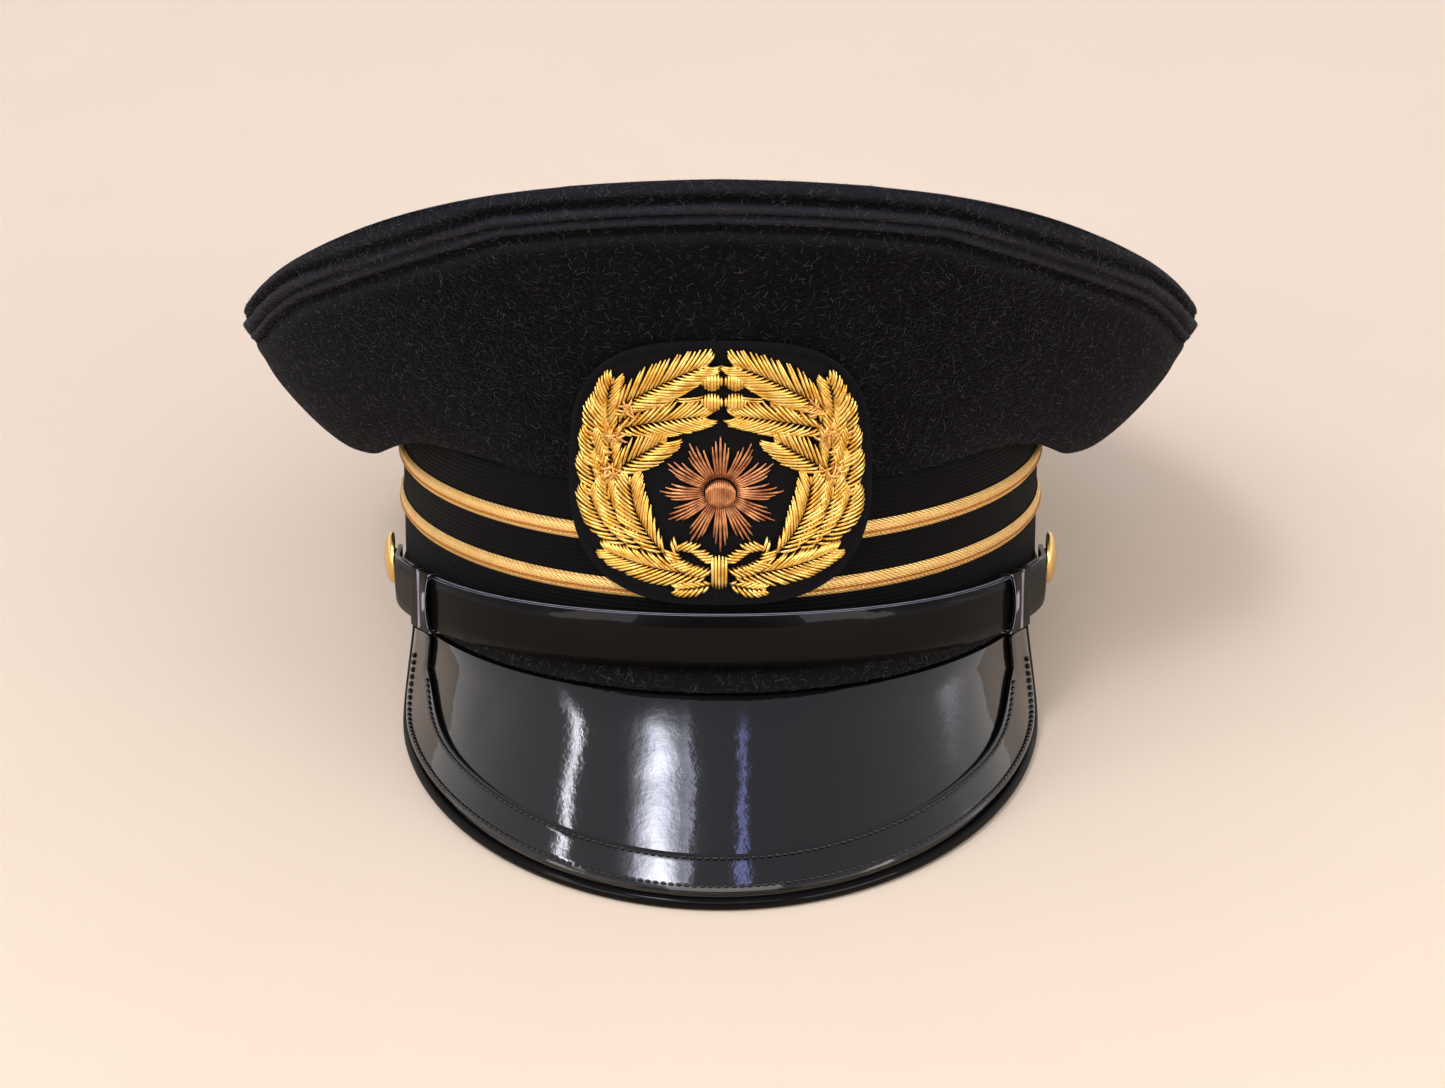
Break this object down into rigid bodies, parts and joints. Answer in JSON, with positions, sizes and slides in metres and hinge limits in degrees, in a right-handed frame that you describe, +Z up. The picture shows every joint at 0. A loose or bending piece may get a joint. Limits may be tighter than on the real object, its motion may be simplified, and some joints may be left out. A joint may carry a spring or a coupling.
{
  "type": "police cap",
  "caption": "Peaked uniform cap with a flared cloth crown, gold braids, a patent leather peak and chin strap, side buttons and an embroidered wreath badge.",
  "frame": {"origin": "centre of the floor area that the resting cap covers, on the floor", "axes": "+Z up, +Y towards the back of the cap, +X towards its left side as worn; the cap leans back to rest on its peak's edge and the back of its band"},
  "size_m": [0.248, 0.2856, 0.1671],
  "materials": {
    "wool": "black woollen cloth with a short fuzzy nap",
    "ribbed_cloth": "black cloth with fine ribs round the band",
    "felt": "matt black felt",
    "gold_braid": "woven metallic gold braid",
    "patent_leather": "glossy black patent leather",
    "gilt": "polished gilt brass",
    "gold_bullion": "gold bullion wire embroidery",
    "copper_bullion": "copper coloured wire embroidery"
  },
  "bodies": {
    "root": {"badge_patch": "felt", "band": "ribbed_cloth", "band_welt": "felt", "berry_1": "gold_bullion", "berry_2": "gold_bullion", "berry_3": "gold_bullion", "berry_4": "gold_bullion", "braid_lower": "gold_braid", "braid_upper": "gold_braid", "button_left": "gilt", "button_right": "gilt", "chin_strap_inner": "patent_leather", "chin_strap_outer": "patent_leather", "crown_quarter_left": "wool", "crown_quarter_right": "wool", "crown_top": "wool", "keeper_left_front": "patent_leather", "keeper_left_rear": "patent_leather", "keeper_right_front": "patent_leather", "keeper_right_rear": "patent_leather", "peak": "patent_leather", "peak_binding": "patent_leather", "peak_border": "patent_leather", "rosette": "copper_bullion", "rosette_boss": "copper_bullion", "wreath_bow": "gold_bullion", "wreath_left": "gold_bullion", "wreath_right": "gold_bullion"}
  },
  "joints": []
}
